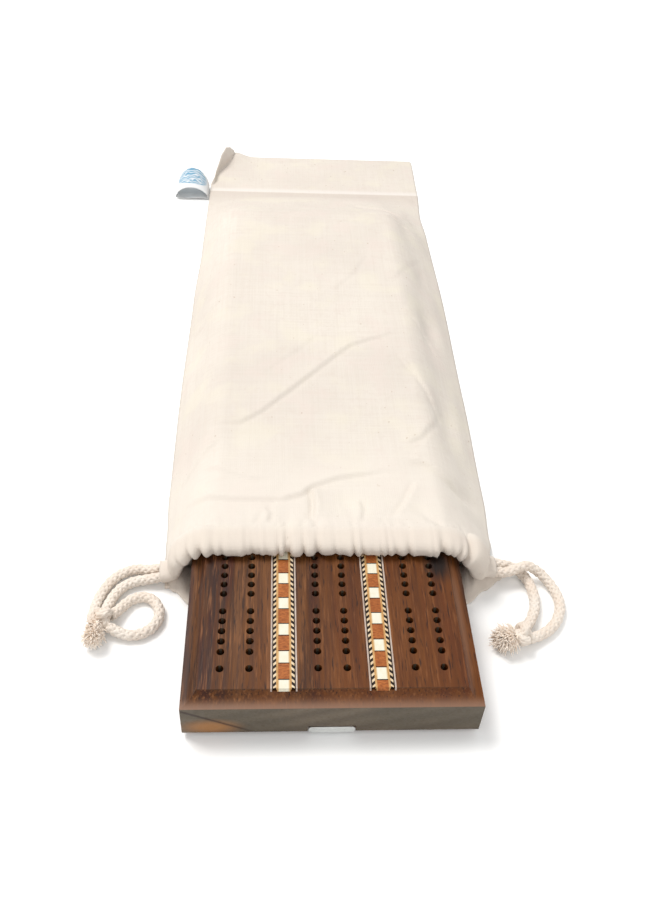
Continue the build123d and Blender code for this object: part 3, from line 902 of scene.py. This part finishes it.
def upper_casing():
    """The gathered hem over the board, with the round fold that hangs at its right corner."""
    sides = 36
    last = len(CASING_LINE) - 1
    points = []
    for index, centre in enumerate(CASING_LINE):
        run = (CASING_LINE[min(index + 1, last)] - CASING_LINE[max(index - 1, 0)]).normalized()
        out = Vector((-run.z, 0, run.x))
        walked = CASING_STEP * index
        from_end = CASING_LENGTH - walked
        fullness = blend_step(walked, 1, 16) * blend_step(from_end, 1, 9)
        fold = gather_depth(walked, 0) * fullness
        swell, fine = [amount * fullness for amount in casing_swell(walked)]
        square = 1.0 - 0.2 * fullness
        neck = exp(-((from_end - 22.0) / 1.7) ** 2)
        fist = sqrt(max(1 - ((from_end - 13.0) / 8.0) ** 2, 0))
        for side in range(sides):
            angle = tau * side / sides
            across, rise = rounded(cos(angle), square), rounded(sin(angle), square)
            front, top = max(-cos(angle), 0), max(sin(angle), 0)
            half_depth = 5.2 + 1.8 * fullness + 1.8 * fist
            above = 3.0 + (CASING_FULL - 3.0) * fullness - 1.6 * neck + 3.6 * fist
            y = across * half_depth + front * (1.1 * fold + fine - swell + 3.4 * neck)
            n = rise * (above if rise > 0 else 2.75)
            n -= top * (0.2 * (1 - across) * fold + fine - 0.5 * swell)
            if across < 0 and abs(n) < CORD_REACH:
                y = min(y, -CORD_PAIR / 2 - sqrt(CORD_REACH**2 - n * n))
            place = centre + out * n
            points.append((place.x, place.y + y, place.z))
    faces = ring_faces(len(CASING_LINE), sides)
    piece = make_piece("bag_casing_cloth", points, faces, MUSLIN, "bag")
    thicken(piece, CASING_CLOTH, offset=1.0)
    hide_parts("bag_upper_casing")


LOWER_MOUTH = [
    (-72.5, -106.0), (-71.0, -110.0), (-65.4, -116.0), (-58.5, -122.5), (-50.0, -126.0),
    (50.0, -126.0), (60.5, -124.0), (71.5, -115.5), (79.0, -110.0), (81.5, -106.0),
]


def lower_casing():
    """The hem of the lower panel: flat under the board, bunched beside it, drawn in to the exits."""
    _, high_y, high_z = node_box("bag_lower_casing")[1]
    sides, rings = 24, 190
    start_x, end_x = LOWER_MOUTH[0][0], LOWER_MOUTH[-1][0]
    points = []
    for ring in range(rings):
        x = start_x + (end_x - start_x) * ring / (rings - 1)
        mouth = along(LOWER_MOUTH, x)
        outside = blend_step(abs(x), SIDE + 0.5, SIDE + 9)
        inner_edge = high_y - 0.5
        middle_y, half_depth = (mouth + inner_edge) / 2, (inner_edge - mouth) / 2
        for side in range(sides):
            angle = tau * side / sides
            across, rise = rounded(cos(angle), 0.6), rounded(sin(angle), 0.6)
            pucker = ripple(x / 3.0, 1.5 * cos(angle), 11.0)
            y = middle_y + across * half_depth + 0.7 * pucker * max(-cos(angle), 0)
            puff = (5.2 + 1.8 * pucker) * outside * blend_step(cos(angle), -0.9, 0.5)
            z = high_z / 2 * (1 + 0.96 * rise) + max(sin(angle), 0) * puff
            points.append((x, y, z))
    faces = [face[::-1] for face in ring_faces(rings, sides)]
    piece = make_piece("bag_lower_casing_cloth", points, faces, MUSLIN, "bag")
    thicken(piece, 0.3)
    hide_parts("bag_lower_casing")


def casing_stitches():
    """The row of stitches that closes the upper casing."""
    points, faces = [], []
    x = -47.0
    while x < 45.0:
        y = STITCH_Y + 0.3 * ripple(x / 11, 0.0, 3.3)
        left, right = along(LEFT_SEAM, y), along(RIGHT_SEAM, y)
        ends = []
        for end_x in (x, x + STITCH_LENGTH):
            ends.append(Vector(panel_point((end_x - left) / (right - left), y)) - Vector((0, 0, 0.06)))
        line = [ends[0].lerp(ends[1], part) for part in (0.0, 0.2, 0.8, 1.0)]
        tube(points, faces, line, lambda part: 0.16 if 0 < part < 1 else 0.05, 6)
        x += STITCH_PITCH
    make_piece("casing_stitches", points, faces, MUSLIN, "bag")


# ================================================================ cords
CORD_NEAR_Y, CORD_FAR_Y = CASING_Y - CORD_PAIR / 2, CASING_Y + CORD_PAIR / 2
CORD_ROUTES = {
    "left_strand_a": [
        (-71.0, CORD_FAR_Y, 5.4), (-76.5, CORD_FAR_Y, 3.3), (-82.8, -104.4, 2.6), (-88.8, -106.6, 2.6),
        (-93.6, -111.6, 2.6), (-96.6, -118.2, 2.6), (-98.2, -124.8, 2.7), (-98.0, -130.4, 3.8),
    ],
    "left_strand_b": [
        (-71.0, CORD_NEAR_Y, 5.4), (-76.4, CORD_NEAR_Y, 3.34), (-82.2, -111.4, 2.7), (-87.4, -113.8, 2.6),
        (-90.9, -118.9, 2.6), (-92.8, -124.3, 2.7), (-93.8, -129.4, 3.8),
    ],
    "left_ring": [
        (-90.4, -131.6, 5.0), (-87.4, -126.8, 3.2), (-84.4, -122.0, 2.6), (-79.3, -119.6, 2.6),
        (-74.2, -121.2, 2.6), (-71.1, -125.8, 2.6), (-70.6, -131.4, 2.6), (-73.2, -136.5, 2.6),
        (-77.9, -139.4, 2.6), (-83.0, -139.9, 2.8), (-87.2, -138.6, 3.6), (-91.0, -136.9, 4.8),
    ],
    "right_strand_c": [
        (75.0, CORD_NEAR_Y, 8.5), (80.0, CORD_NEAR_Y, 7.111), (84.8, -109.6, 8.2), (90.3, -107.4, 8.9),
        (95.9, -108.6, 5.9), (100.2, -112.4, 3.4), (102.8, -118.0, 2.6), (103.3, -124.3, 2.6),
        (101.4, -130.8, 2.6), (97.4, -136.6, 2.6), (91.6, -141.0, 2.8), (85.2, -143.8, 4.0),
    ],
    "right_strand_d": [
        (75.0, CORD_FAR_Y, 8.5), (80.2, CORD_FAR_Y, 7.056), (84.6, -105.4, 4.9), (88.6, -107.0, 3.1),
        (91.2, -110.7, 2.6), (92.1, -115.6, 2.6), (92.5, -121.6, 2.6), (91.2, -127.6, 2.6),
        (88.2, -133.6, 2.8), (84.0, -139.2, 4.0),
    ],
}
# The plait: length of one turn, how far out its strands run, and the strands and core themselves.
PLAIT_PITCH = 15.0
PLAIT_RADIUS = 1.42
PLAIT_STEP = 0.42
CARRIER_RADIUS = 0.86
CORE_RADIUS = 1.75
CARRIERS = 5


def plaited(name, line, squeeze=1.0):
    """A ten-strand plait round a core: five carriers turn each way, over and under each other."""
    fine = even_points(line, PLAIT_STEP)
    points, faces, sides = [], [], []
    for index in range(len(fine)):
        run = (fine[min(index + 1, len(fine) - 1)] - fine[max(index - 1, 0)]).normalized()
        side = run.cross(Vector((0, 0, 1))).normalized()
        sides.append((side, side.cross(run)))
    tube(points, faces, fine, CORE_RADIUS * squeeze, 10)
    for way in (-1, 1):
        for carrier in range(CARRIERS):
            strand = []
            for index, centre in enumerate(fine):
                turn = tau * index * PLAIT_STEP / PLAIT_PITCH
                angle = way * turn + tau * carrier / CARRIERS
                weave = 0.20 * cos(CARRIERS * turn + pi * carrier) * way
                side, over = sides[index]
                reach = (PLAIT_RADIUS + weave) * squeeze
                strand.append(centre + side * cos(angle) * reach + over * sin(angle) * reach)
            tube(points, faces, strand, CARRIER_RADIUS * squeeze, 6)
    return make_piece(name, points, faces, COTTON, "bag")


def knot(side, turn, towards_strands):
    """A tight overhand knot: the plait follows a small trefoil."""
    middle = middle_of(f"{side}_knot") + Vector(towards_strands)
    tilt = Matrix.Rotation(turn, 3, "Z") @ Matrix.Rotation(radians(62), 3, "X")
    loop = []
    for step in range(121):
        t = tau * step / 120
        trefoil = Vector((sin(t) + 2 * sin(2 * t), cos(t) - 2 * cos(2 * t), -1.25 * sin(3 * t)))
        place = tilt @ trefoil * 1.32
        loop.append(middle + Vector((place.x, place.y, place.z * 0.92)) + Vector((0, 0, 0.2)))
    piece = plaited(f"{side}_knot_turns", loop, squeeze=0.82)
    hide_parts(f"{side}_knot")
    return piece


TUFT_FIBRES = 900


def tuft(side, direction, spread):
    """The cut cord ends, frayed into a soft brush: short fibres standing out of a matted core."""
    root = middle_of(f"{side}_knot")
    ahead = Vector((*direction, 0)).normalized()
    across = Vector((-ahead.y, ahead.x, 0))
    points, faces = [], []
    core = [root + ahead * (2.5 + 5.5 * step / 8) for step in range(9)]
    tube(points, faces, core, lambda part: 2.4 + 1.2 * part - 1.8 * part**3, 18)
    for _ in range(TUFT_FIBRES):
        azimuth = RNG.uniform(-1, 1) * spread
        rise = RNG.uniform(-0.9, 1.0)
        level = ahead * cos(azimuth) + across * sin(azimuth)
        aim = level * cos(rise) + Vector((0, 0, 1)) * sin(rise)
        start = root + ahead * RNG.uniform(1.0, 7.0) + aim * RNG.uniform(1.0, 3.2)
        reach = RNG.uniform(2.2, 4.6)
        curl = Vector((RNG.uniform(-1, 1), RNG.uniform(-1, 1), RNG.uniform(-1, 0.6)))
        curl *= RNG.uniform(0.5, 1.6)
        line = []
        for step in range(5):
            part = step / 4
            place = start + aim * reach * part + curl * part * part
            place.z = max(place.z, 0.4)
            line.append(place)
        tube(points, faces, line, lambda part: 0.36 - 0.14 * part, 4)
    piece = make_piece(f"{side}_frayed_tuft", points, faces, FRAYED_COTTON, "bag")
    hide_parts(f"{side}_tuft")
    return piece


def free_cords():
    ends = {
        "left": (knot("left", radians(15), (0.8, 0.4, 0)), tuft("left", (-0.15, -1.0), 0.75)),
        "right": (knot("right", radians(80), (1.2, -0.3, 0)), tuft("right", (-1.0, -0.25), 1.15)),
    }
    for name, corners in CORD_ROUTES.items():
        line = even_points(smooth_route(corners, 16), 0.8)
        piece = plaited(f"{name}_plait", line)
        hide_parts(name)
        side = name.split("_")[0]
        first = name in ("left_strand_a", "right_strand_c")
        [value * MM for value in corners[0]]
        list(ends[side]) if first else []


# ================================================================ seam label
def seam_label():
    """A folded tape in the left seam: a flat lower leaf, and an upper one that bows up and tips back."""
    (low_x, low_y, low_z), (_, high_y, _) = node_box("seam_label")
    seam_x = -70.8
    length = seam_x - low_x
    profile = []
    for step in range(13):
        part = step / 12
        z = low_z + 0.2 + 0.5 * part + 0.5 * sin(2 * pi * part)
        profile.append((seam_x - length * 0.96 * part, z, 0.0))
    for step in range(1, 8):
        angle = -pi / 2 + pi * step / 8
        profile.append((low_x + 0.9 - 0.9 * cos(angle), low_z + 1.9 + 1.1 * sin(angle), step / 8))
    for step in range(25):
        part = step / 24
        bow = low_z + 3.0 + 6.2 * sin(pi * part) ** 0.55 - 1.6 * part
        profile.append((low_x + 0.9 + (length - 0.9) * part, bow, 1.0))
    columns = 21
    points = []
    for x, z, upper in profile:
        part = (x - low_x) / length
        for column in range(columns):
            share = column / (columns - 1)
            tip = 6.5 * share * sin(pi * min(max(part, 0), 1)) ** 0.6 * upper
            wave = 0.35 * sin(5 * share + 3 * part)
            points.append((x, low_y + (high_y - low_y) * share + 0.08 * tip, z + tip + wave * upper))
    faces = grid_faces(len(profile), columns)
    piece = make_piece("seam_label_tape", points, faces, LABEL, "bag")
    thicken(piece, 0.22, offset=0.0)
    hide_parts("seam_label")


def floor():
    size = 6.0
    corners = [(-size, -size, 0), (size, -size, 0), (size, size, 0), (-size, size, 0)]
    mesh = bpy.data.meshes.new("floor")
    mesh.from_pydata(corners, [], [[0, 1, 2, 3]])
    piece = add_object("floor", mesh)
    shader = Shader("pale_floor", roughness=0.9, specular=0.1)
    shader.colour((0.97, 0.97, 0.96, 1))
    mesh.materials.append(shader.material)


# ================================================================ build
MUSLIN = muslin()
COTTON = cotton_cord("cotton_cord", 1.07)
# The tuft's cotton is lifted further: painted light in place of the light lost among its loose fibres.
FRAYED_COTTON = cotton_cord("frayed_cotton", 1.3)
LABEL = label_tape()

add_camera()
add_studio()
floor()
finish_board()
for hidden_cords in ("cased_drawcords", "pressed_drawcords"):
    paint(hidden_cords, COTTON)
upper_panel()
lower_panel()
upper_casing()
lower_casing()
casing_stitches()
free_cords()
seam_label()

bpy.context.view_layer.update()
